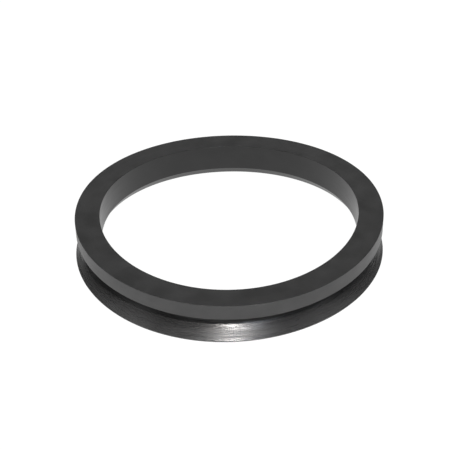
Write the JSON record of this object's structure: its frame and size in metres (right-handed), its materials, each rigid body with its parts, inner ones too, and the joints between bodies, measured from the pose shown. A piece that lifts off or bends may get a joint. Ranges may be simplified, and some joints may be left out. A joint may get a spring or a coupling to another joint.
{
  "type": "v-ring seal",
  "caption": "Rubber v-ring: a square-backed body round a plain bore, with a V groove and a thin flared sealing lip.",
  "frame": {"origin": "on the shaft axis, in the plane that the edge of the lip rests on", "axes": "+Z along the shaft axis, from the lip towards the flat back face"},
  "size_m": [0.076, 0.076, 0.0105],
  "materials": {
    "black_rubber": "satin"
  },
  "bodies": {
    "root": {"v_ring": "black_rubber"}
  },
  "joints": []
}
